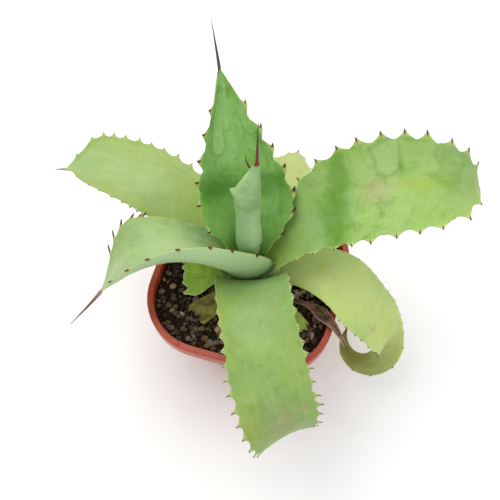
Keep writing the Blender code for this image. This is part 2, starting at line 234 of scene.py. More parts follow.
blade = {
    "thick": 0.005,        # middle of the base
    "thinBy": 0.62,        # share of it lost by the tip
    "edge": 0.0006,        # margin
    "columns": 61,         # points across each face
    "steps": 210,          # even steps along, besides those round each tooth
    "trimUntil": 0.35,
    "spineSteps": 20,
    "spineTaper": 0.88,
    "hookFrom": 0.52,      # shares where the curled leaf's inner side draws in
    "hookTo": 0.74,
    "swells": ((0.022, 0.02, 0.6), (0.009, 0.008, 0.25)),    # length, width and share of each size
    "dents": (0.0042, 0.0036, 0.16),
    "marginWave": 0.0011,
    "marginLine": 0.0012,  # width of the pale line along the margin
    "hornThick": 0.0007,   # a horn is thicker than the margin by this
    "printRise": 0.0002,   # how far a print's rim, the hollow round it and its field stand
    "hollowDrop": 0.00016,
    "fieldRise": 0.00006,
    "torn": 0.0024,        # raggedness of a torn end
}

# at, out, rise, length, climb, turn, roll, half, base, widestAt, taper, cup, trim and the spine are
# the frame's own. teeth: for the left and the right margin the first, the last, how many, and how
# much they crowd towards the base. tooth, for each margin: height of the green foot, of the horn,
# half width of the horn, how far its point leans towards the tip and how sharply the foot peaks.
# root: how far the base runs on into the stem. ear: how far the near margin of a rolled base runs
# back past the rest. blunt: share where a broad end closes, and the half width of the cusp beyond.
# hook: share of its half width by which the right side draws in.
leaves = {
    "tall_leaf": dict(
        at=90, out=0.0005, rise=0.027, length=0.125, climb=(75, 36, 39, 50), turn=(0, 15, 12, 12),
        roll=(5, 7, 40), half=0.0332, base=0.0119, widestAt=0.3, taper=1.36, cup=(71, 33, 21),
        teeth=((0.125, 0.806, 7, 1.0), (0.149, 0.8, 7, 1.2)),
        tooth=((0.0066, 0.0009, 0.0011, 0.0008, 1.3), (0.0062, 0.0007, 0.0013, 0.0034, 1.2)), spine=0.029,
        spineRadius=0.0011, spineTo=(104, 52), root=0.002, wave=0.0009, slot="leaf_young", seed=3),
    "right_leaf": dict(
        at=24, out=0.0035, rise=0.017, length=0.176, climb=(65, 40, 11, -62), turn=(0, -8, -24, 8),
        roll=(-5, 9, 33), half=0.032, base=0.0151, widestAt=0.51, taper=2.6, cup=(57, 33, 27), trim=(0.5, 0),
        teeth=((0.2, 0.929, 12, 1.0), (0.185, 0.921, 10, 1.0)),
        tooth=((0.0054, 0.0009, 0.0007, -0.0004, 1.9), (0.005, 0.0009, 0.0007, 0.0002, 1.8)), spine=0.005,
        spineRadius=0.0012, spineTo=(0, -60), root=0.006, wave=0.0011, slot="leaf", seed=8),
    "left_leaf": dict(
        at=138, out=0.002, rise=0.011, length=0.136, climb=(32, 17, 17, 0), turn=(0, -1, 32, 45),
        roll=(-11, 15, 33), half=0.035, base=0.015, widestAt=0.8, taper=3.2, cup=(52, 15, 36),
        teeth=((0.26, 0.975, 14, 1.0), (0.26, 0.96, 14, 1.0)),
        tooth=((0.0034, 0.0006, 0.0005, 0.0005, 2.1), (0.0036, 0.0007, 0.0005, 0.0005, 2.1)), spine=0.008,
        spineRadius=0.0012, spineTo=(183, 0), blunt=(0.98, 0.0105), root=0.006, wave=0.0009, slot="leaf_old",
        seed=14),
    "folded_leaf": dict(
        at=210, out=0.0039, rise=0.024, length=0.134, climb=(73, 30, -17, -62, -57),
        turn=(-19, -30, -30, -29, -9), roll=(48, 45, 10, 29), half=0.0293, base=0.03, widestAt=0.61,
        taper=1.05, cup=(83, 53, 28), teeth=((0.06, 0.66, 9, 1.0), (0.545, 0.81, 6, 1.7)),
        tooth=((0.0005, 0.0006, 0.0005, 0.002, 1.8), (0.002, 0.0046, 0.0006, -0.003, 1.8)), spine=0.034,
        spineRadius=0.0015, spineTo=(225, -14), ear=0.011, root=0.006, wave=0.0004, slot="leaf_young",
        seed=21),
    "front_leaf": dict(
        at=-86, out=0.003, rise=0.01, length=0.18, climb=(112, 31, -10, -36, -92, -131),
        turn=(0, 5, 8, 19, 3), roll=(-14, 16, 2, -19), half=0.0253, base=0.024, widestAt=0.58, taper=2.3,
        cup=(29, 26, 14), teeth=((0.2, 0.95, 18, 1.0), (0.22, 0.95, 17, 1.0)),
        tooth=((0.0042, 0.0006, 0.0006, 0.0006, 2.2), (0.004, 0.0007, 0.0006, 0.0006, 2.1)), spine=0.006,
        spineRadius=0.0012, spineTo=(-83, -134), root=0.004, wave=0.0011, slot="leaf_old", seed=27),
    "curled_leaf": dict(
        at=-10, out=0.0055, rise=0.008, length=0.185, climb=(42, 29, -29, -48, -94, -26, 35),
        turn=(0, -8, -23, -24, -60, -184, -289), roll=(1, 4, -4, -16, -24, -13), half=0.0214, base=0.0146,
        widestAt=0.25, taper=3.1, cup=(45, 5, 7, 14), trim=(0, 0.85),
        teeth=((0.24, 0.95, 17, 1.0), (0.26, 0.6, 10, 1.0)),
        tooth=((0.0003, 0.0005, 0.0005, 0.0002, 1.9), (0.0014, 0.0006, 0.0006, 0.0002, 1.9)), hook=0.66,
        spine=0.004, spineRadius=0.001, spineTo=(60, 40), root=0.008, wave=0.0004, slot="leaf_old", seed=33),
    "back_leaf": dict(
        at=69, out=0.0035, rise=0.007, length=0.084, climb=(25, 14, 4, -6), turn=(0, 0, 0), roll=(0, 0, 0),
        half=0.0165, base=0.011, widestAt=0.7, taper=2.6, cup=(40, 20, 10),
        teeth=((0.25, 0.95, 9, 1.0), (0.25, 0.95, 9, 1.0)),
        tooth=((0.0012, 0.0007, 0.0006, 0.0, 1.8), (0.0012, 0.0007, 0.0006, 0.0, 1.8)), spine=0.003,
        spineRadius=0.0009, spineTo=(69, -6), root=0.006, wave=0.0004, slot="leaf_pale", seed=39),
}

# Colour patches of each leaf: share along, place across (-1 right margin, 1 left), their reach
# along and across, and strength.
patches = {
    "tall_leaf": dict(
        deep=((0.43, 0.65, 0.06, 0.6, 0.8), (0.38, -0.6, 0.07, 0.7, 1.0), (0.4, 0.0, 0.04, 1.6, 0.4),
              (0.62, -0.75, 0.1, 0.15, 0.6)),
        pale=((0.2, 0.6, 0.1, 0.45, 0.6), (0.72, 0.2, 0.14, 0.35, 0.55), (0.55, 0.3, 0.05, 0.2, 0.4)),
        cool=((0.15, 0.0, 0.16, 1.5, 0.8),)),
    "right_leaf": dict(
        deep=((0.365, -0.75, 0.04, 0.55, 1.0), (0.415, 0.0, 0.042, 0.55, 1.0),
              (0.45, 0.65, 0.04, 0.45, 1.0), (0.64, 0.42, 0.012, 0.22, 0.8), (0.565, 0.55, 0.01, 0.2, 0.5)),
        cool=((0.28, -0.1, 0.08, 0.8, 0.9), (0.7, 0.75, 0.18, 0.3, 0.35)),
        pale=((0.26, -0.15, 0.05, 0.3, 0.5), (0.84, -0.25, 0.12, 0.4, 0.5)),
        warm=((0.12, 0.3, 0.1, 0.8, 0.35), (0.68, 0.02, 0.065, 0.15, 1.0), (0.93, 0.0, 0.06, 0.7, 0.4)),
        blush=((0.55, 0.02, 0.045, 0.25, 0.55), (0.975, 0.0, 0.025, 0.22, 0.9),
               (0.538, 0.03, 0.006, 0.025, 0.9)),
        dusk=((0.992, 0.0, 0.007, 0.1, 0.8),)),
    "left_leaf": dict(
        warm=((0.35, -0.3, 0.12, 0.7, 0.7), (0.8, 0.8, 0.2, 0.25, 0.5)),
        pale=((0.62, 0.0, 0.2, 0.6, 0.7),),
        cool=((0.93, -0.2, 0.06, 0.8, 0.5), (0.52, 0.15, 0.05, 0.25, 0.4)),
        blush=((0.52, -0.45, 0.01, 0.04, 0.7),)),
    "folded_leaf": dict(
        pale=((0.42, -0.2, 0.2, 0.8, 0.8),),
        cool=((0.12, 0.5, 0.14, 0.8, 0.6),),
        warm=((0.88, 0.0, 0.1, 1.0, 0.5),),
        deep=((0.7, -0.5, 0.04, 0.25, 0.4),),
        # the dusk patch is painted shade: a dark line along the fold at the base end of the outer face
        dusk=((-0.012, 0.5, 0.016, 0.6, 1.0),)),
    "front_leaf": dict(
        cool=((0.17, 0.0, 0.1, 1.2, 1.0), (0.62, 0.45, 0.03, 0.25, 0.5)),
        blush=((0.655, 0.68, 0.01, 0.09, 0.95), (0.665, 0.1, 0.035, 0.35, 0.4),
               (0.3, 0.45, 0.006, 0.04, 0.5), (0.73, 0.0, 0.03, 0.6, 0.35)),
        warm=((0.66, -0.8, 0.1, 0.3, 0.8), (0.24, -0.9, 0.14, 0.2, 0.7)),
        pale=((0.4, 0.1, 0.12, 0.6, 0.5),),
        deep=((0.33, 0.05, 0.006, 0.03, 0.8), (0.56, 0.1, 0.005, 0.03, 0.8))),
    "curled_leaf": dict(
        warm=((0.2, 0.35, 0.018, 0.14, 0.9), (0.56, 0.2, 0.05, 0.6, 0.8), (0.7, 0.0, 0.06, 1.0, 0.7)),
        # the first pale patch is painted light: it lifts the shadow that the right leaf casts on the curled
        # leaf's base
        pale=((0.1, 0.0, 0.09, 1.2, 0.9), (0.33, 0.2, 0.14, 0.8, 0.8)),
        blush=((0.47, -0.45, 0.011, 0.13, 1.0), (0.24, -0.7, 0.006, 0.06, 0.6), (0.72, 0.0, 0.05, 0.8, 0.5)),
        deep=((0.4, -0.2, 0.004, 0.03, 0.8),),
        olive=((0.9, 0.0, 0.16, 1.4, 1.0),),
        dusk=((0.985, 0.0, 0.02, 1.2, 0.7), (0.7, -0.9, 0.03, 0.25, 0.8))),
    "back_leaf": dict(
        pale=((0.6, 0.0, 0.5, 1.5, 1.0),),
        blush=((0.8, -0.5, 0.02, 0.1, 0.5),)),
}

# Prints that neighbouring teeth pressed into the surface while the leaf was in bud, as tongues with
# one round end: whether they hang from the left margin or run along the blade, the share along and
# place across of the round end's middle, their half width and length there, and how plain they are.
prints = {
    "tall_leaf": (
        ("along", 0.725, 0.47, 0.19, 0.2, 0.9), ("along", 0.73, 0.12, 0.13, 0.16, 0.7),
        ("along", 0.635, 0.45, 0.18, 0.09, 0.9), ("along", 0.58, 0.02, 0.11, 0.12, 0.6),
        ("along", 0.7, -0.72, 0.17, 0.14, 0.6), ("along", 0.6, -0.62, 0.14, 0.09, 0.5),
        ("along", 0.3, -0.45, 0.22, 0.1, 0.35), ("along", 0.48, -0.7, 0.15, 0.1, 0.4)),
    "right_leaf": (
        ("hang", 0.525, 0.46, 0.042, 1.0, 0.5), ("hang", 0.6, 0.45, 0.03, 1.0, 0.9),
        ("hang", 0.668, 0.5, 0.026, 1.0, 0.45), ("hang", 0.73, 0.42, 0.03, 1.0, 0.45),
        ("hang", 0.8, 0.5, 0.03, 1.0, 0.25), ("hang", 0.435, 0.52, 0.034, 1.0, 0.2)),
}


def stemRadiusAt(rise):
    share = min(max(rise / stemSize["height"], 0.0), 1.0)
    return stemSize["radius"] + (stemSize["topRadius"] - stemSize["radius"]) * share


def halfWidth(leaf, u):
    # half width: an S-shaped rise from the base, then half * (1 - y^taper) to the tip
    opened = leaf["base"] + (leaf["half"] - leaf["base"]) * ease(0.0, leaf["widestAt"], u)
    if "taper" not in leaf:
        return opened
    closeAt, cusp = leaf.get("blunt", (1.0, 0.0))
    y = np.clip((u - leaf["widestAt"]) / (closeAt - leaf["widestAt"]), 0.0, 1.0)
    closed = leaf["half"] * (1 - y ** leaf["taper"])
    closed = np.maximum(closed, cusp * np.clip((1.004 - u) / 0.04, 0.0, 3.0) ** 0.8)
    return np.where(u < leaf["widestAt"], opened, closed)


def middleLine(leaf, u):
    # place, direction ahead, across and out of the blade at each u: the climb, heading and roll are
    # summed along the leaf from its seat on the stem
    fine = np.linspace(0.0, 1.0, 601)
    climb = np.radians(along(leaf["climb"], fine))
    head = np.radians(leaf["at"] + along(leaf["turn"], fine))
    roll = np.radians(along(leaf["roll"], fine))
    ahead = np.stack([np.cos(climb) * np.cos(head), np.cos(climb) * np.sin(head), np.sin(climb)], 1)
    side = np.stack([-np.sin(head), np.cos(head), 0 * head], 1)
    up = np.cross(ahead, side)
    across = side * np.cos(roll)[:, None] + up * np.sin(roll)[:, None]
    out = up * np.cos(roll)[:, None] - side * np.sin(roll)[:, None]
    line = np.zeros((len(fine), 3))
    line[1:] = np.cumsum((ahead[1:] + ahead[:-1]) / 2 * leaf["length"] / (len(fine) - 1), 0)
    seat = stemRadiusAt(leaf["rise"]) + leaf["out"] + blade["thick"] / 2
    line += seat * pointing(leaf["at"], 0) + (0, 0, soilTop + leaf["rise"])
    read = [np.stack([np.interp(u, fine, v[:, k]) for k in range(3)], -1) for v in (line, ahead, across, out)]
    read[0] += ahead[0] * (np.minimum(u, 0.0) * leaf["length"])[..., None]
    return read


def toothPlaces(leaf, side):
    # the teeth of one margin, each moved a little; the same draws go on to their sizes
    first, last, count, crowd = leaf["teeth"][side]
    rng = np.random.default_rng(leaf["seed"] + 5 * side)
    places = first + (last - first) * (np.arange(count) / (count - 1)) ** crowd
    gap = np.gradient(places)
    return places + rng.uniform(-0.12, 0.12, count) * gap, gap, rng


def marginOf(leaf, side, u):
    # how far one margin stands out from the smooth outline, and how much of it is horn: concave
    # bays (1 - x)^peak between green feet, and on each foot a horn that narrows to a point
    foot, horn, halfWide, _, peak = leaf["tooth"][side]
    first, last, count, _ = leaf["teeth"][side]
    places, gap, rng = toothPlaces(leaf, side)
    size = rng.uniform(0.75, 1.15, count) * (0.45 + 0.55 * ease(0.0, 0.3, places - first))
    away = (u[..., None] - places) * leaf["length"]
    nearest = np.abs(away).argmin(-1)
    away = np.take_along_axis(away, nearest[..., None], -1)[..., 0]
    reach = gap[nearest] * leaf["length"] / 2
    x = np.clip(np.abs(away) / reach, 0.0, 1.0)
    run = ease(first - 0.08, first, u) * (1 - ease(last, last + 0.05, u))
    shelf = 1 / (1 + peak) + 0.06
    bay = foot * size[nearest] * ((1 - x) ** peak - shelf) * run
    spike = np.clip(1 - np.abs(away) / (halfWide * size[nearest] ** 0.5), 0.0, 1.0) ** 1.15 * run
    return bay + horn * size[nearest] * spike, spike


def teethStations(leaf):
    # extra steps round each tooth, in half widths of its horn
    around = np.array([-2.6, -1.7, -1.05, -0.7, -0.35, 0.0, 0.35, 0.7, 1.05, 1.7, 2.6])
    return np.concatenate([
        (toothPlaces(leaf, side)[0][:, None] + around * leaf["tooth"][side][2] / leaf["length"]).ravel()
        for side in (0, 1)])


def printed(leafName, leaf, u, v):
    # the raised rim of each tongue, the hollow outside it (dipped, and darkened with painted shade)
    # and the smooth field inside it: away is 0 on the rim of a half-round end that straight sides carry on
    rim, hollow, field = np.zeros(u.shape), np.zeros(u.shape), np.zeros(u.shape)
    for way, atU, atV, half, run, plain in prints.get(leafName, ()):
        wander = 0.16 * rough(u * 23 + atU * 40, v * 5 + atV * 40, 76)
        if way == "along":
            long, wide = (u - atU) * leaf["length"] / (half * leaf["half"]), (v - atV) / half
            shown = 1 - ease(0.5 * run, run, u - atU)
        else:
            long, wide = (v - atV) / (half * leaf["length"] / leaf["half"]), (u - atU) / half
            shown = 1 - ease(0.8, 0.98, v)
        away = np.hypot(np.minimum(long, 0.0), wide) - 1 + wander
        shown = shown * plain
        rim = np.maximum(rim, np.exp(-(away / 0.13) ** 2) * shown)
        hollow = np.maximum(hollow, np.exp(-((away - 0.3) / 0.26) ** 2) * shown)
        field = np.maximum(field, (1 - ease(-0.35, 0.0, away)) * shown)
    return rim, hollow * (1 - field), field


def spineRings(leaf, half):
    # the spine carries the blade's last ring on as a round cone that bends towards spineTo
    share = np.linspace(0.0, 1.0, blade["spineSteps"] + 1)[:, None]
    tipAt, tipAhead, _, tipOut = (value[0] for value in middleLine(leaf, np.array([1.0])))
    way = tipAhead + (pointing(*leaf["spineTo"]) - tipAhead) * np.minimum(share * 2, 1.0)
    way /= np.linalg.norm(way, axis=1)[:, None]
    line = tipAt + np.cumsum((way[1:] + way[:-1]) / 2 * leaf["spine"] / blade["spineSteps"], 0)
    radius = leaf["spineRadius"] * (1 - blade["spineTaper"] * share[1:] ** 0.85)
    turn = np.radians(np.concatenate([np.linspace(165, 15, half), np.linspace(-15, -165, half)]))
    over = np.cross(way[1:], np.cross(tipOut, way[1:]))
    over /= np.linalg.norm(over, axis=1)[:, None]
    beside = np.cross(over, way[1:])
    cone = (line[:, None] + radius[..., None] * (beside[:, None] * np.cos(turn)[None, :, None]
            + over[:, None] * np.sin(turn)[None, :, None]))
    return cone, share[1:]


def carriedOn(marks, kind, values):
    # every mark for rings past the blade: values for one kind, none for the rest
    return {key: np.concatenate([value, values if key == kind else np.zeros(values.shape)])
            for key, value in marks.items()}


def buildLeaf(name, leaf, thick, finish):
    toothed = "teeth" in leaf
    root = leaf.get("root", 0.004) / leaf["length"]
    stations = np.linspace(-root, 1.0, blade["steps"])
    if toothed:
        stations = np.concatenate([stations, teethStations(leaf)])
    stations = np.unique(np.round(np.clip(stations, -root, 1.0), 5))
    stations = stations[np.concatenate([[True], np.diff(stations) > 4e-4])]
    if stations[-1] < 1.0:
        stations = np.append(stations, 1.0)
    t = np.linspace(-1.0, 1.0, blade["columns"])
    placesAcross = 1.5 * t - 0.5 * t ** 3      # crowded towards the margins
    u, v = np.meshgrid(stations, placesAcross, indexing="ij")
    length = leaf["length"]
    outward = ease(0.86, 1.0, np.abs(v))
    stand, horn = np.zeros(u.shape), np.zeros(u.shape)
    if toothed:
        leftStand, leftHorn = marginOf(leaf, 0, stations)
        rightStand, rightHorn = marginOf(leaf, 1, stations)
        stand = np.where(v > 0, leftStand[:, None], rightStand[:, None]) * outward
        horn = np.where(v > 0, leftHorn[:, None], rightHorn[:, None]) * outward ** 2
        u = u + np.where(v > 0, leaf["tooth"][0][3], leaf["tooth"][1][3]) / length * horn
    u = u - leaf.get("ear", 0.0) / length * np.clip(v, 0.0, 1.0) ** 3 * (1 - ease(-0.04, 0.25, u))
    width = np.maximum(halfWidth(leaf, u), leaf.get("spineRadius", 0.0))
    cup = np.radians(np.maximum(along(leaf["cup"], u), 2.0))
    kept = 1 - np.clip(1 - u / blade["trimUntil"], 0.0, 1.0) * np.where(v > 0, *leaf.get("trim", (0, 0)))
    hooked = np.clip((u - blade["hookFrom"]) / (blade["hookTo"] - blade["hookFrom"]), 0.0, 1.0)
    kept = kept - hooked * np.where(v > 0, 0.0, leaf.get("hook", 0.0))
    spread = width * v * kept + np.sign(v) * stand
    angle = spread * cup / width
    centre, ahead, across, out = middleLine(leaf, u)
    cosine, sine = np.cos(angle)[..., None], np.sin(angle)[..., None]
    lean = across * cosine + out * sine
    normal = np.cross(ahead, lean)
    bend = (width / cup)[..., None]
    face = centre + across * bend * sine + out * bend * (1 - cosine)
    # gentle swells, a wave along the margins and the raised prints
    seed = leaf["seed"]
    swell = sum(rough(u * length / long, v * width / wide, seed + number) * share
                for number, (long, wide, share) in enumerate(blade["swells"]))
    long, wide, share = blade["dents"]
    dents = rough(u * length / long + 3, v * width / wide, seed + 3)
    swell = swell + share * dents * np.abs(dents)
    free = ease(0.03, 0.2, u) * (1 - ease(0.97, 1.0, u))
    margin = np.abs(v) ** 5 * rough(u * length / 0.013 + np.sign(v) * 9, v * 0.2, seed + 2)
    face = face + normal * ((swell * leaf["wave"] + margin * blade["marginWave"]) * free)[..., None]
    line, hollow, field = printed(name, leaf, u, v)
    edge = blade["edge"] + blade["hornThick"] * horn * (1.15 - horn)
    body = edge + np.maximum(thick * (1 - blade["thinBy"] * np.clip(u, 0, 1)) - edge, 0.0) * (1 - v * v)
    relief = blade["printRise"] * line - blade["hollowDrop"] * hollow + blade["fieldRise"] * field
    over = face + normal * (body / 2 + relief)[..., None]
    under = face - normal * (body / 2)[..., None]
    if leaf.get("cut"):
        # torn rather than clean: the end runs ragged across the blade
        ragged = rough(v * 4.2 + seed, u * 2, seed + 7) + 0.5 * rough(v * 13 + seed, u * 2, seed + 8)
        torn = ahead * (ragged * blade["torn"] * ease(0.55, 1.0, u))[..., None]
        over, under = over + torn, under + torn
    rings = np.concatenate([over, under[:, ::-1]], 1)
    blank = np.zeros(u.shape)
    pale = blade["marginLine"]
    rim = np.clip((np.abs(spread) - width * kept + pale) / pale, 0, 1) * ease(0.8, 1.0, np.abs(v))
    marks = {"horn": horn, "print": line, "hollow": hollow, "field": field, "edge": rim,
             "underside": blank, "point": blank, "cut": blank}
    reach = 0.0016 + 0.006 * np.abs(v) ** 4
    if leaf.get("spine"):
        marks["point"] = 0.45 * np.clip(1 - (1 - u) * length / reach, 0.0, 1.0)
    for kind in ("deep", "cool", "warm", "blush", "pale", "olive", "dusk"):
        shown = blank
        for atU, atV, reachU, reachV, amount in patches.get(name, {}).get(kind, ()):
            wander = 1 + 0.35 * rough(u * 30 + atU * 50, v * 6 + atV * 50, seed + 4)
            away = ((u - atU) / reachU) ** 2 + ((v - atV) / reachV) ** 2
            shown = shown + amount * np.exp(-away * wander)
        marks[kind] = np.clip(shown, 0.0, 1.0)
    marks = {key: np.concatenate([value, value[:, ::-1]], 1) for key, value in marks.items()}
    columns = rings.shape[1]
    half = columns // 2
    marks["underside"][:, half:] = 1.0
    where = np.stack([u * length, spread, 0 * u], -1)
    where = np.concatenate([where, where[:, ::-1] + (0, 0, 0.05)], 1)
    if leaf.get("spine"):
        cone, share = spineRings(leaf, half)
        further = np.zeros(cone.shape)
        further[..., 0] = length + share * leaf["spine"]
        rings, where = np.concatenate([rings, cone]), np.concatenate([where, further])
        marks = carriedOn(marks, "point", np.broadcast_to(0.5 + 0.5 * share, cone.shape[:2]))
    if leaf.get("cut"):
        # a cut end: the last ring again, drawn in a little, with the pale inner flesh
        middle = rings[-1].mean(0)
        sunk = middle + (rings[-1] - middle) * (0.97, 0.97, 0.8) + ahead[-1, 0] * leaf["cut"]
        rings, where = np.concatenate([rings, sunk[None]]), np.concatenate([where, where[-1:]])
        marks = carriedOn(marks, "cut", np.ones((1, columns)))
    faces = tube(len(rings), columns) + stripCap(0, columns) + stripCap((len(rings) - 1) * columns, columns)
    marks = {key: value.ravel() for key, value in marks.items()}
    marks["where"] = where.reshape(-1, 3)
    return skin(name + "_fine", rings.reshape(-1, 3), faces, marks, finish)


leafLooks = {
    "tall_leaf": dict(
        bloom=0.05, main=(110, 162, 58), deep=(60, 116, 8), cool=(108, 156, 76), warm=(150, 175, 60),
        pale=(144, 190, 104), under=(116, 152, 92), spine=((84, 62, 58), (70, 62, 66), (96, 90, 94))),
    "right_leaf": dict(
        main=(145, 179, 85), deep=(88, 138, 24), cool=(124, 162, 92), warm=(150, 174, 50),
        pale=(160, 186, 112), under=(136, 164, 98), spine=((120, 80, 64), (70, 54, 50), (60, 50, 48))),
    "left_leaf": dict(
        main=(146, 170, 86), deep=(118, 150, 58), cool=(136, 166, 96), warm=(146, 168, 66),
        pale=(160, 182, 112), under=(140, 162, 96), horns=((160, 168, 104), (128, 112, 84)),
        spine=((166, 180, 116), (150, 146, 100), (132, 112, 88))),
    "folded_leaf": dict(
        main=(150, 178, 104), deep=(108, 146, 62), cool=(118, 152, 102), warm=(144, 172, 78),
        pale=(170, 192, 126), under=(174, 204, 150), horns=((176, 96, 64), (96, 46, 38)),
        spine=((150, 122, 120), (110, 62, 44), (60, 34, 26))),
    "front_leaf": dict(
        main=(136, 166, 78), deep=(106, 140, 56), cool=(120, 154, 88), warm=(142, 160, 58),
        pale=(154, 180, 102), under=(136, 162, 100), horns=((140, 150, 96), (104, 106, 84)),
        spine=((120, 116, 90), (90, 90, 84), (84, 84, 80))),
    "curled_leaf": dict(
        main=(178, 198, 110), deep=(146, 174, 82), cool=(168, 194, 122), warm=(172, 186, 76),
        pale=(188, 202, 126), under=(132, 140, 72), olive=(118, 122, 52),
        horns=((140, 140, 80), (84, 84, 62)), spine=((110, 100, 60), (70, 60, 50), (60, 50, 40))),
    "back_leaf": dict(
        main=(176, 186, 110), deep=(150, 166, 80), cool=(164, 182, 112), warm=(180, 188, 92),
        pale=(186, 196, 120), under=(164, 178, 106), horns=((170, 150, 96), (140, 96, 72)),
        spine=((160, 120, 96), (120, 90, 80), (100, 84, 80))),
}


def leafSkin(name, look, gloss=0.42):
    bench = Bench(name + "_skin", Roughness=gloss, Specular_IOR_Level=0.32, Coat_Weight=0.05,
                  Coat_Roughness=0.35)
    mark, step, noise = bench.mark, bench.step, bench.noise
    where, around = mark("where", "Vector"), bench.around()
    tone = {key: shade(*value) for key, value in look.items() if key not in ("spine", "horns", "bloom")}
    light = tuple(0.55 * value + 0.45 for value in tone["pale"])
    broad = noise(around, 26.0, 3.0, 0.6)
    cloud = noise(around, 55.0, 4.0, 0.65, 0.6)
    fleck = noise(around, 150.0, 3.0, 0.7, 0.4)
    speck = noise(around, 900.0, 2.0, 0.6)
    streak = noise(where, (14.0, 190.0, 1.0), 4.0, 0.6, 0.25)
    fibre = noise(where, (60.0, 1500.0, 1.0), 2.0, 0.5)
    film = step(0.42, 0.68, noise(around, 60.0, 5.0, 0.7, 0.4))    # waxy bloom, rubbed away in spots
    pits = step(0.1, 0.055, bench.cells(around, 210.0)) * step(0.6, 0.68, noise(around, 95.0, 1.0))
    ruddy = bench.coats(shade(176, 148, 122), (step(0.35, 0.65, broad), shade(170, 120, 96)))
    horn, point = mark("horn"), mark("point")
    hornFoot, hornEnd = (shade(*value) for value in look.get("horns", ((150, 84, 56), (62, 38, 34))))
    spineTones = [shade(*value) for value in look["spine"]]
    grain = noise(where, (120.0, 900.0, 1.0)) * 0.12
    spineStops = zip((0.0, 0.5, 0.72, 1.0), spineTones[:1] + spineTones)
    spine = bench.ramp(point + grain - 0.06, tuple(spineStops))
    patchwork = (("cool", 0.85), ("pale", 0.8), ("deep", 0.9), ("warm", 0.9))
    colour = bench.coats(
        tone["main"],
        (step(0.38, 0.62, broad) * 0.75, tone["cool"]),
        (step(0.5, 0.68, cloud) * 0.6, tone["deep"]),
        (step(0.54, 0.7, fleck) * 0.4, tone["pale"]),
        (step(0.44, 0.32, fleck) * 0.35, tone["deep"]),
        (step(0.5, 0.72, streak) * 0.45, tone["pale"]),
        *((mark(kind) * most, tone[kind]) for kind, most in patchwork),
        (mark("blush") * 0.75, ruddy),
        (mark("field") * 0.28, tone["pale"]),
        # painted shade: the hollow round each print is darkened in colour as well as dipped in the surface
        (mark("hollow") * 0.42, tone["deep"]),
        (mark("print") * 0.22, light),
        (mark("olive") * 0.9, tone.get("olive", tone["main"])),
        (mark("underside") * 0.85, tone["under"]),
        # dark grey: painted shade along the folded leaf's base; the other dusk patches darken leaf tips, the
        # curled leaf's lower margin and the bud's teeth
        (mark("dusk") * 0.85, shade(66, 68, 66)),
        (film * look.get("bloom", 0.1), shade(196, 214, 180)),
        (step(0.6, 0.72, speck) * 0.2, tone["deep"]),
        (pits * 0.5, shade(96, 104, 60)),
        (mark("edge") * 0.5, shade(196, 206, 124)),
        (step(0.1, 0.3, horn) * 0.6, hornFoot),
        (step(0.24, 0.5, horn) * 0.96, hornEnd),
        (step(0.03, 0.22, point), spine))
    fine = noise(around, 240.0) * 0.3
    relief = streak * 0.5 + fibre * 0.12 + speck * 0.1 + fleck * 0.35 + fine - pits * 0.6
    finish = gloss - 0.06 + broad * 0.16 + film * 0.06 - step(0.2, 0.5, horn) * 0.12
    return bench.feed(Base_Color=colour, Roughness=finish, Normal=bench.bump(relief, 0.3, 0.0006))


for leafName, leafShape in leaves.items():
    made = buildLeaf(leafName, leafShape, blade["thick"], leafSkin(leafName, leafLooks[leafName]))
    place(made, leafName)
print("leaves built:", len(leaves))

remnants = {
    "cut_leaf_left": dict(
        at=178, out=0.007, rise=0.0045, length=0.0235, climb=(10, 10), turn=(0, 0), roll=(0, 8), half=0.019,
        base=0.0065, widestAt=0.75, cup=(40, 16), thick=0.0034, cut=0.0007, root=0.01, wave=0.0006, seed=51,
        slot="leaf_stub",
        look=dict(fresh=(176, 210, 84), dark=(146, 186, 66), dying=(210, 214, 136), flesh=(222, 230, 196))),
    "withered_stub": dict(
        at=219, out=0.009, rise=0.0045, length=0.023, climb=(8, 2), turn=(0, 0), roll=(0, 0), half=0.0085,
        base=0.006, widestAt=0.9, cup=(30, 14), thick=0.0034, cut=0.0005, root=0.01, wave=0.0016, seed=57,
        slot="leaf_withered",
        look=dict(fresh=(150, 146, 58), dark=(92, 80, 38), dying=(170, 156, 84), flesh=(140, 124, 80))),
    "cut_leaf_right": dict(
        at=-55, out=0.005, rise=0.0042, length=0.034, climb=(8, 2), turn=(0, 4), roll=(0, 0), half=0.011,
        base=0.008, widestAt=0.8, cup=(30, 18), thick=0.0034, cut=0.0006, root=0.008, wave=0.0006, seed=63,
        slot="leaf_stub",
        look=dict(fresh=(146, 172, 66), dark=(116, 144, 50), dying=(164, 172, 86), flesh=(172, 182, 122))),
    "dry_leaf": dict(
        at=-29, out=0.028, rise=0.006, length=0.046, climb=(30, 20, 6, -30, -62), turn=(0, -20, -20, -22),
        roll=(0, 10, 25), half=0.0044, base=0.0016, widestAt=0.42, taper=0.7, spineRadius=0.0011,
        cup=(20, 30, 70, 100), thick=0.0014, root=0.012, wave=0.0022, seed=71, slot="leaf_dry",
        look=dict(fresh=(138, 98, 74), dark=(72, 47, 34), dying=(208, 176, 150), flesh=(140, 110, 84))),
}


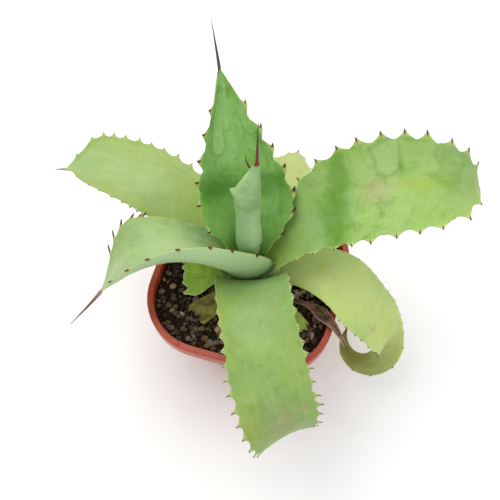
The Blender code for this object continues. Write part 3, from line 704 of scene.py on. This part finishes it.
def remnantSkin(name, look, dry):
    bench = Bench(name + "_skin", Roughness=0.75 if dry else 0.38, Specular_IOR_Level=0.35)
    where, around = bench.mark("where", "Vector"), bench.around()
    tone = {key: shade(*value) for key, value in look.items()}
    broad = bench.noise(around, 110.0, 4.0, 0.6, 0.5)
    fibre = bench.noise(where, (90.0, 1300.0, 1.0), 4.0, 0.65, 0.3)
    colour = bench.coats(
        tone["fresh"],
        (bench.step(0.35, 0.65, broad), tone["dark"]),
        (bench.step(0.52, 0.72, fibre) * 0.7, tone["dying"]),
        (bench.mark("edge") * 0.55, tone["dying"]),
        (bench.mark("cut") * (0.75 + 0.25 * broad), tone["flesh"]))
    relief = fibre * 0.8 + bench.noise(around, 500.0) * 0.3
    return bench.feed(Base_Color=colour, Normal=bench.bump(relief, 0.6 if dry else 0.3, 0.0008))


for leafName, leafShape in remnants.items():
    finish = remnantSkin(leafName, leafShape["look"], leafName == "dry_leaf")
    made = buildLeaf(leafName, leafShape, leafShape["thick"], finish)
    place(made, leafName)
print("remnants built:", len(remnants))

bud = {
    "start": (-0.0005, -0.002, 0.0276),     # from the middle of the soil surface
    "climb": 73.0, "head": 90.0, "body": 0.09, "shoulder": 0.73,
    "shares": (0.0, 0.12, 0.28, 0.5, 0.73), "radii": (0.0024, 0.005, 0.0078, 0.007, 0.0076),
    "columns": 96, "steps": 120, "spine": 0.028, "spineRadius": 0.0011, "spineSteps": 21,
    "bend": 1.0,
    "seam": -6.0,                            # degrees round the roll, where the outer margin lies
    "wrap": 0.0008,                          # how far the outer turn stands over the one below
    "thorn": dict(share=0.955, height=0.01, radius=0.0008, lean=0.0022, rings=12, columns=8),
}


def buildBud(finish):
    # a rolled leaf: radius r(s) + wrap * turn, cut off obliquely above its shoulder, where the
    # rings draw in towards the side that bears the spine
    ahead = pointing(bud["head"], bud["climb"])
    side = np.array([1.0, 0.0, 0.0])
    front = np.cross(ahead, side)             # towards the bud's open side
    start = np.array(bud["start"]) + (0.0, 0.0, soilTop)
    shares = np.linspace(0.0, 1.0, bud["steps"])
    base = np.interp(shares, bud["shares"], bud["radii"])
    full = bud["radii"][-1]
    past = (shares - bud["shoulder"]) / (1 - bud["shoulder"])
    close = ease(0.0, 1.0, past) * 0.35 + 0.65 * np.clip(past, 0.0, 1.0)
    radius = np.where(shares < bud["shoulder"], base, full + (bud["spineRadius"] - full) * close)
    shift = np.where(shares < bud["shoulder"], 0.0, full - radius) * 0.93 - 0.0012 * ease(0.3, 0.7, shares)
    turns = np.linspace(0.0, 1.0, bud["columns"], endpoint=False)
    turns = np.concatenate([[0.0, 0.004], turns[1:]])  # two columns make the step of the seam
    turn = np.radians(bud["seam"]) + 2 * np.pi * turns
    s, t = np.meshgrid(shares, turns, indexing="ij")
    step = np.where(t <= 0.0, 0.0, 1 - t) * bud["wrap"] * ease(0.02, 0.2, s) * (1 - ease(0.93, 1.0, s))
    swell = rough(s * 9, t * 6, 91) * 0.00035 + rough(s * 26, t * 14, 92) * 0.0001
    fold = ease(0.66, 0.72, s) * (1 - ease(0.8, 0.86, s)) * rough(s * 60, t * 9, 93) * 0.00026
    reach = radius[:, None] + step + (swell + fold) * (1 - ease(0.9, 1.0, s))
    angle = np.broadcast_to(turn[None, :], s.shape)
    points = (start + ahead * (bud["body"] * s)[..., None] + side * (shift[:, None] + 0 * s)[..., None]
              + side * (reach * np.cos(angle))[..., None] + front * (reach * np.sin(angle))[..., None])
    k = np.linspace(0.0, 1.0, bud["spineSteps"] + 1)[1:]
    bend = math.radians(bud["bend"]) * k
    way = ahead * np.cos(bend)[:, None] + side * np.sin(bend)[:, None]
    tip = start + ahead * bud["body"] + side * shift[-1]
    thin = bud["spineRadius"] * (1 - 0.9 * k ** 0.9)
    cone = (tip + way * (bud["spine"] * k)[:, None])[:, None] + (
        side * np.cos(turn)[:, None] + front * np.sin(turn)[:, None])[None] * thin[:, None, None]
    columns = len(turns)
    # the outer turn's free corner stands up at the shoulder
    corner = np.exp(-((t - 0.53) / 0.06) ** 2) * np.exp(-((s - bud["shoulder"] - 0.006) / 0.02) ** 2)
    points = points + (ahead * 0.004 - side * 0.0022) * corner[..., None]
    rings = np.concatenate([points, cone])
    seam = np.exp(-((np.minimum(t, 1 - t)) / 0.02) ** 2) * (t > 0)
    toothy = seam * np.clip(np.sin(s * 60) - 0.55, 0, 1) * 2 * (1 - ease(0.25, 0.4, s))
    lip = ease(0.7, 0.74, s) * (1 - ease(0.955, 0.98, s)) * np.exp(-((t - 0.5) / 0.05) ** 2)
    band = np.exp(-((s - 0.66 + 0.012 * np.cos(angle)) / 0.022) ** 2)
    # painted shade: the crumpled band round the shoulder is darkened, as if shaded in its creases
    marks = {"horn": np.clip(toothy, 0, 1), "edge": np.clip(seam + lip * 0.5, 0, 1), "print": 0.25 * seam,
             "hollow": np.clip(fold * 4000, 0, 1) * 0.6, "dusk": 0.8 * toothy, "deep": 0.55 * band,
             "cool": 0.5 * (1 - ease(0.1, 0.6, s)), "pale": 0.95 * np.exp(-((s - 0.45) / 0.16) ** 2),
             "point": 0.45 * ease(0.965, 1.0, s)}
    marks.update({kind: 0 * s for kind in ("underside", "cut", "blush", "warm", "field", "olive")})
    marks = carriedOn(marks, "point", np.broadcast_to(0.5 + 0.5 * k[:, None], (len(k), columns)))
    whereBody = np.stack([s * bud["body"], t * 2 * np.pi * 0.0084, 0 * s], -1)
    whereTip = np.broadcast_arrays(bud["body"] + k[:, None] * bud["spine"], turns[None] * 0.01, 0.0)
    whereTip = np.stack(whereTip, -1)
    faces = closedTube(len(rings), columns)
    count = len(rings) * columns
    # a marginal thorn beside the spine
    thorn = bud["thorn"]
    h = np.linspace(0.0, 1.0, thorn["rings"])
    beside = np.interp(thorn["share"], shares, shift) - 0.0035
    foot = start + ahead * bud["body"] * thorn["share"] + side * beside
    foot = foot + front * 0.0005
    line = foot + ahead * (thorn["height"] * h)[:, None] - side * (thorn["lean"] * np.sin(h * 2.2))[:, None]
    ring = wholeTurn(thorn["columns"])
    thornRings = line[:, None] + (side * np.cos(ring)[:, None] + front * np.sin(ring)[:, None])[None] * (
        thorn["radius"] * (1 - 0.92 * h))[:, None, None]
    faces += [[count + i for i in face] for face in closedTube(thorn["rings"], thorn["columns"])]
    more = thorn["rings"] * thorn["columns"]
    allPoints = np.concatenate([rings.reshape(-1, 3), thornRings.reshape(-1, 3)])
    flat = {key: np.concatenate([value.ravel(), np.full(more, 0.75 if key == "point" else 0.0)])
            for key, value in marks.items()}
    flat["where"] = np.concatenate([whereBody.reshape(-1, 3), whereTip.reshape(-1, 3), np.zeros((more, 3))])
    return skin("bud_fine", allPoints, faces, flat, finish)


budLook = dict(
    bloom=0.16, main=(140, 176, 114), deep=(108, 148, 78), cool=(126, 164, 112), warm=(150, 176, 100),
    pale=(162, 198, 142), horns=((132, 66, 48), (84, 44, 38)), under=(120, 156, 104),
    spine=((124, 44, 34), (92, 50, 44), (54, 44, 46)))
place(buildBud(leafSkin("bud", budLook, 0.5)), "bud_leaf")


def buildStem():
    # a turned stub with the scars of old leaves: radius falls to the top, with a ridge at each scar
    bench = Bench("stem_bark", Roughness=0.8)
    around = bench.around()
    fibre = bench.noise(around, (420.0, 420.0, 90.0), 4.0, 0.6)
    barkStops = ((0.3, shade(88, 80, 44)), (0.55, shade(140, 140, 88)), (0.8, shade(178, 176, 124)))
    colour = bench.ramp(fibre, barkStops)
    bench.feed(Base_Color=colour, Normal=bench.bump(fibre, 0.6, 0.0008))
    rings, columns = stemSize["rings"], stemSize["columns"]
    h, angle = np.meshgrid(np.linspace(0.0, 1.0, rings), wholeTurn(columns), indexing="ij")
    z = -stemSize["depth"] + 0.0004 + h * (stemSize["height"] + stemSize["depth"] - 0.0006)
    fall = np.clip(z / stemSize["height"], 0.0, 1.0)
    radius = stemSize["radius"] + (stemSize["topRadius"] - stemSize["radius"]) * fall
    ridge = 0.5 + 0.5 * np.sin(z / 0.0042 * 2 * np.pi + angle * 2)
    radius = radius - 0.0005 + 0.0005 * ridge ** 3 + 0.0003 * rough(h * 14, angle * 3, 44)
    points = np.stack([radius * np.cos(angle), radius * np.sin(angle), z + soilTop], -1).reshape(-1, 3)
    place(skin("stem_fine", points, closedTube(rings, columns), {}, bench.material), "stem")


buildStem()
print("bud and stem built")

pot = {
    "side": 0.128, "corner": 0.041, "height": 0.095, "footSide": 0.084, "footCorner": 0.034,
    "turn": -16.0, "wall": 0.0016, "floor": 0.0025, "lipHeight": 0.012, "lipOut": 0.003,
    "drainRadius": 0.004, "drainRing": 0.022, "drains": 4, "drainSides": 32,
    "footRound": 0.002, "lipRound": 0.0013, "bevel": 0.0005, "cornerSteps": 18, "sideSteps": 8,
}


def squareRing(side, corner):
    # one turn round a square with round corners, as (x, y): four arcs joined by straight runs
    reach = side / 2 - corner
    turn = np.radians(np.linspace(0, 90, pot["cornerSteps"]))
    run = []
    for quarter in range(4):
        a = turn + quarter * math.pi / 2
        mid = (quarter + 0.5) * math.pi / 2
        c = reach * math.sqrt(2) * np.array([math.cos(mid), math.sin(mid)])
        run.append(c + corner * np.stack([np.cos(a), np.sin(a)], -1))
    full = []
    for quarter in range(4):
        here, following = run[quarter], run[(quarter + 1) % 4]
        share = np.linspace(0, 1, pot["sideSteps"] + 2)[1:-1, None]
        full += [here, here[-1] + (following[0] - here[-1]) * share]
    return np.concatenate(full)


def potWallAt(z):
    share = z / (pot["height"] - pot["lipHeight"])
    topSide, topCorner = pot["side"] - 2 * pot["lipOut"], pot["corner"] - pot["lipOut"]
    return (pot["footSide"] + (topSide - pot["footSide"]) * share,
            pot["footCorner"] + (topCorner - pot["footCorner"]) * share)


def potTurned(x, y):
    turn = math.radians(pot["turn"])
    return x * math.cos(turn) - y * math.sin(turn), x * math.sin(turn) + y * math.cos(turn)


def squareRings(levels):
    # rings of (side, corner, z), turned with the pot
    rings = []
    for side, corner, z in levels:
        x, y = potTurned(*squareRing(side, max(corner, 0.0002)).T)
        rings.append(np.stack([x, y, np.full(len(x), z)], -1))
    return np.array(rings)


def potFinish():
    bench = Bench("pot_plastic_fine", Specular_IOR_Level=0.45, Coat_Weight=0.08, Coat_Roughness=0.3)
    around = bench.around()
    height = bench.node("SeparateXYZ", {}, {"Vector": around}, "Z")
    mottle = bench.noise(around, 45.0, 4.0, 0.6)
    # watering has left chalky runs on the wall, and soil a dusty film on the lip's inner face
    runs = bench.noise(around, (160.0, 160.0, 14.0), 4.0, 0.7)
    chalk = bench.step(0.56, 0.74, runs) * bench.step(0.08, 0.03, height)
    dust = bench.step(0.52, 0.72, bench.noise(around, 120.0, 4.0, 0.7)) * bench.mark("inner")
    scuff = bench.step(0.62, 0.7, bench.noise(around, (300.0, 300.0, 900.0), 2.0))
    colour = bench.coats(
        shade(186, 74, 46),
        (mottle, shade(166, 61, 39)),
        (chalk * 0.45, shade(214, 178, 156)),
        (dust * 0.55, shade(104, 66, 46)),
        (scuff * 0.18, shade(222, 140, 110)))
    grainy = bench.noise(around, 2600.0, 2.0) * 0.3 + bench.noise(around, 500.0, 3.0) * 0.5 + runs * 0.2
    return bench.feed(Base_Color=colour, Roughness=0.34 + mottle * 0.14 + chalk * 0.3 + dust * 0.3,
                      Normal=bench.bump(grainy, 0.12, 0.0004))


def buildPot():
    lipFoot = pot["height"] - pot["lipHeight"]
    levels = []
    footSide, footCorner = potWallAt(0.0)
    for a in np.radians(np.linspace(0, 90, 7)):        # the rounded foot
        drawIn = pot["footRound"] * (1 - math.sin(a))
        levels.append((footSide - 2 * drawIn, footCorner - drawIn, pot["footRound"] * (1 - math.cos(a))))
    levels += [(*potWallAt(z), z) for z in np.linspace(0.004, lipFoot - 0.0006, 26)]
    side, corner = potWallAt(lipFoot)
    levels.append((side + 0.0004, corner + 0.0002, lipFoot - 0.0001))
    bevel = pot["bevel"]
    levels += [(pot["side"] - 0.0016, pot["corner"] - 0.0008, lipFoot),
               (pot["side"] - 2 * bevel, pot["corner"] - bevel, lipFoot + bevel)]
    levels += [(pot["side"] - 2 * bevel * (1 - k), pot["corner"] - bevel * (1 - k),
                lipFoot + bevel + (pot["lipHeight"] - 0.0022) * k) for k in np.linspace(0.15, 1, 8)]
    for a in np.radians(np.linspace(15, 90, 6)):       # the lip's rolled edge
        drawIn = pot["lipRound"] * (1 - math.cos(a))
        levels.append((pot["side"] - 2 * drawIn, pot["corner"] - drawIn,
                       pot["height"] - pot["lipRound"] * (1 - math.sin(a))))
    outer = len(levels)
    innerSide = side - 2 * pot["wall"]
    innerCorner = corner - pot["wall"]
    levels += [(innerSide + 0.0012, innerCorner + 0.0006, pot["height"]),
               (innerSide, innerCorner, pot["height"] - 0.001)]
    levels += [(innerSide, innerCorner, z) for z in np.linspace(pot["height"] - 0.003, lipFoot, 5)]
    for z in np.linspace(lipFoot - 0.01, pot["floor"], 8):
        wallSide, wallCorner = potWallAt(z)
        levels.append((wallSide - 2 * pot["wall"], wallCorner - pot["wall"], z))
    rings = squareRings(levels)
    columns = rings.shape[1]
    inner = np.zeros(rings.shape[:2])
    inner[outer - 2:] = 1.0
    faces = closedTube(len(rings), columns)
    made = skin("pot_fine", rings.reshape(-1, 3), faces, {"inner": inner.ravel()}, potFinish())
    sides = pot["drainSides"]
    for hole in range(pot["drains"]):
        turn = math.radians(45 + 360 * hole / pot["drains"] + pot["turn"])
        ring = wholeTurn(sides)
        x = pot["drainRing"] * math.cos(turn) + pot["drainRadius"] * np.cos(ring)
        y = pot["drainRing"] * math.sin(turn) + pot["drainRadius"] * np.sin(ring)
        ends = np.concatenate([np.stack([x, y, np.full(sides, z)], -1) for z in (-0.005, 0.01)])
        cutter = skin("drain_cutter", ends, closedTube(2, sides), {}, made.data.materials[0])
        cut = made.modifiers.new("drain", "BOOLEAN")
        cut.operation = "DIFFERENCE"
        cut.object = cutter
        bpy.context.view_layer.update()
        bored = bpy.data.meshes.new_from_object(made.evaluated_get(bpy.context.evaluated_depsgraph_get()))
        made.modifiers.clear()
        made.data = bored
        bpy.data.objects.remove(cutter)
    made.data.set_sharp_from_angle(angle=math.radians(50))
    place(made, "pot")


buildPot()
print("pot built")

ground = {"rings": 90, "swell": 0.0016, "clods": 0.0011, "crumbs": 0.0005, "gap": 0.0004}


def soilHeight(x, y):
    # the surface over the CAD's flat one: swells, clods and crumbs of noise, each finer than the last
    clod = rough(x / 0.006 + 7, y / 0.006 + 3, 101)
    return (ground["swell"] * rough(x / 0.022 + 5, y / 0.022 + 9, 100) + ground["clods"] * clod
            + ground["crumbs"] * rough(x / 0.0022 + 11, y / 0.0022 + 2, 102) - 0.0006)


def soilFinish():
    bench = Bench("potting_mix_fine", Specular_IOR_Level=0.2, Roughness=0.95)
    around = bench.around()
    grains = bench.noise(around, 420.0, 5.0, 0.7)
    clods = bench.noise(around, 130.0, 4.0, 0.6)
    bark = bench.step(0.63, 0.7, bench.noise(around, (190.0, 620.0, 400.0)))
    colour = bench.coats(
        bench.ramp(grains, ((0.3, shade(22, 16, 9)), (0.52, shade(42, 31, 19)), (0.72, shade(78, 60, 42)))),
        (bench.step(0.45, 0.7, clods) * 0.5, shade(30, 22, 12)),
        (bark * 0.5, shade(92, 70, 50)))
    return bench.feed(Base_Color=colour, Normal=bench.bump(grains * 0.7 + clods * 0.5, 0.9, 0.0015))


def buildSoil():
    lipFoot = pot["height"] - pot["lipHeight"]
    side, corner = potWallAt(lipFoot)
    side, corner = side - 2 * (pot["wall"] + ground["gap"]), corner - pot["wall"] - ground["gap"]
    share = np.linspace(0.02, 1.0, ground["rings"])
    levels = [(side * k, side * k / 2 + (corner * k - side * k / 2) * k ** 2, soilTop) for k in share]
    top = squareRings(levels)
    top[..., 2] += soilHeight(top[..., 0], top[..., 1]) * (1 - ease(0.985, 1.0, share))[:, None]
    walls = []
    for z in (lipFoot, 0.05, pot["floor"] + ground["gap"]):
        wallSide, wallCorner = potWallAt(min(z, lipFoot))
        inset = pot["wall"] + ground["gap"]
        walls.append((wallSide - 2 * inset, wallCorner - inset, z))
    rings = np.concatenate([top, squareRings(walls)])
    columns = rings.shape[1]
    faces = closedTube(len(rings), columns)
    place(skin("soil_fine", rings.reshape(-1, 3), faces, {}, soilFinish()), "soil")
    return side, corner


def stoneFinish(name, stops, gloss):
    bench = Bench(name, Specular_IOR_Level=0.35)
    around = bench.around()
    veins = bench.noise(around, 700.0, 4.0, 0.65)
    colour = bench.coats(
        bench.ramp(bench.mark("tint"), stops),
        (bench.step(0.45, 0.75, veins) * 0.45, shade(60, 48, 36)),
        (bench.step(0.6, 0.75, bench.noise(around, 300.0)) * 0.35, shade(196, 176, 150)))
    return bench.feed(Base_Color=colour, Roughness=gloss + veins * 0.2, Normal=bench.bump(veins, 0.5, 0.0004))


gritSorts = {
    # count, smallest and largest size, subdivisions of each grain, how far it stands out of the soil
    "grit_coarse": dict(count=900, size=(0.0028, 0.006), cuts=2, stand=0.26, seed=201),
    "grit_medium": dict(count=900, size=(0.0013, 0.0027), cuts=1, stand=0.25, seed=202),
    "grit_fine": dict(count=1900, size=(0.0006, 0.0013), cuts=1, stand=0.3, seed=203),
}


def buildGrit(name, sort, side, corner, finish):
    # broken stones: one rough ball, stretched, turned and knocked out of shape for each grain
    rng = np.random.default_rng(sort["seed"])
    bm = bmesh.new()
    bmesh.ops.create_icosphere(bm, subdivisions=sort["cuts"], radius=0.5)
    ball = np.array([v.co[:] for v in bm.verts])
    ballFaces = np.array([[v.index for v in f.verts] for f in bm.faces])
    bm.free()
    spots = rng.uniform(-side / 2, side / 2, (sort["count"] * 3, 2))
    past = np.abs(spots) - (side / 2 - corner)
    reach = np.hypot(*np.maximum(past, 0.0).T)
    size = sort["size"][0] + (sort["size"][1] - sort["size"][0]) * rng.random(len(spots)) ** 2.2
    fits = (reach < corner - size / 2) & (np.hypot(*spots.T) > stemSize["radius"] + size / 2)
    spots, size = spots[fits][:sort["count"]], size[fits][:sort["count"]]
    count = len(spots)
    x, y = potTurned(*spots.T)
    stretch = np.stack([np.ones(count), rng.uniform(0.6, 0.95, count), rng.uniform(0.45, 0.75, count)], -1)
    chip = 1 + rng.uniform(-0.16, 0.14, (count, len(ball), 1))
    shapes = ball[None] * chip * (stretch * size[:, None])[:, None]
    spin, tip = rng.uniform(0, 2 * np.pi, count), rng.normal(0, 0.35, count)
    cs, sn, ct, st = np.cos(spin), np.sin(spin), np.cos(tip), np.sin(tip)
    tilt = np.stack([cs, -sn * ct, sn * st, sn, cs * ct, -cs * st, 0 * cs, st, ct], -1).reshape(count, 3, 3)
    shapes = np.einsum("nij,nvj->nvi", tilt, shapes)
    z = soilTop + soilHeight(x, y) + size * sort["stand"]
    shapes += np.stack([x, y, z], -1)[:, None]
    faces = (ballFaces[None] + (np.arange(count) * len(ball))[:, None, None]).reshape(-1, 3)
    tint = np.repeat(rng.random(count), len(ball))
    made = skin(name, shapes.reshape(-1, 3), faces.tolist(), {"tint": tint}, finish, turnOut=False)
    made.data.set_sharp_from_angle(angle=math.radians(32))
    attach(made, "root")


stoneStops = ((0.0, shade(42, 31, 20)), (0.3, shade(80, 60, 41)), (0.54, shade(124, 97, 68)),
              (0.66, shade(84, 76, 66)), (0.84, shade(124, 114, 102)), (0.96, shade(184, 152, 118)))
crumbStops = ((0.0, shade(34, 25, 16)), (0.4, shade(58, 44, 30)), (0.7, shade(96, 76, 54)),
              (1.0, shade(138, 116, 90)))
soilSide, soilCorner = buildSoil()
gritStone = stoneFinish("broken_stone", stoneStops, 0.62)
gritCrumb = stoneFinish("crumbs", crumbStops, 0.75)
for gritName, gritSort in gritSorts.items():
    buildGrit(gritName, gritSort, soilSide, soilCorner, gritStone if gritName == "grit_coarse" else gritCrumb)

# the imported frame's own loose stones keep their shapes and take a finish each
for number, nodeName in enumerate(sorted(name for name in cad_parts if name.startswith("stone_"))):
    share = (number * 0.618) % 1.0
    own = stoneFinish(nodeName + "_stone", tuple((at, tuple(value * (0.7 + 0.6 * share) for value in colour))
                                                 for at, colour in stoneStops[:2]), 0.6)
    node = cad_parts[nodeName]
    for slotIndex in range(len(node.material_slots)):
        node.material_slots[slotIndex].material = own
print("soil, grit and stones built")

view = {"lens": 50.4, "distance": 0.48, "elevation": 65.0, "target": (0.00034, 0.01467, 0.10184)}


def buildView():
    camera = bpy.data.cameras.new("camera")
    camera.lens = view["lens"]
    camera.sensor_width = 36.0
    camera.clip_start = 0.01
    camera.dof.use_dof = False
    made = bpy.data.objects.new("camera", camera)
    lift = math.radians(view["elevation"])
    x, y, z = view["target"]
    made.location = (x, y - view["distance"] * math.cos(lift), z + view["distance"] * math.sin(lift))
    made.rotation_euler = (math.pi / 2 - lift, 0.0, 0.0)
    bpy.context.scene.collection.objects.link(made)
    bpy.context.scene.camera = made


lamps = {
    "key": dict(place=(-0.45, 0.35, 1.25), size=0.9, power=8.0, colour=(1.0, 0.99, 0.96)),
    "fill": dict(place=(0.9, -0.6, 0.9), size=1.1, power=3.0, colour=(0.97, 0.99, 1.0)),
    "back": dict(place=(0.2, 1.2, 0.8), size=1.0, power=4.0, colour=(1.0, 1.0, 1.0)),
}
room = {"strength": 0.8, "colour": (1.0, 1.0, 1.0), "floor": (0.92, 0.935, 0.935), "floorSize": 6.0}


def buildLight():
    for name, lamp in lamps.items():
        light = bpy.data.lights.new(name, "AREA")
        light.size = lamp["size"]
        light.energy = lamp["power"]
        light.color = lamp["colour"]
        made = bpy.data.objects.new(name, light)
        x, y, z = lamp["place"]
        made.location = lamp["place"]
        flat = math.hypot(x, y)
        made.rotation_euler = (0.0, math.atan2(flat, z - 0.1), math.atan2(y, x))
        bpy.context.scene.collection.objects.link(made)
    world = bpy.data.worlds.new("room")
    world.use_nodes = True
    backdrop = world.node_tree.nodes["Background"]
    backdrop.inputs["Color"].default_value = (*room["colour"], 1.0)
    backdrop.inputs["Strength"].default_value = room["strength"]
    bpy.context.scene.world = world
    bpy.context.scene.view_settings.view_transform = "Standard"


def buildFloor():
    size = room["floorSize"] / 2
    corners = np.array([(-size, -size, 0.0), (size, -size, 0.0), (size, size, 0.0), (-size, size, 0.0)])
    bench = Bench("floor_paper", Roughness=0.9)
    fine = bench.noise(bench.around(), 3.0, 2.0)
    low = room["floor"]
    bench.feed(Base_Color=bench.coats(low, (fine * 0.2, tuple(value * 0.98 for value in low))))
    made = skin("floor", corners, [(0, 1, 2, 3)], {}, bench.material, smooth=False, turnOut=False)


buildView()
buildLight()
buildFloor()
print("camera, light and floor set")
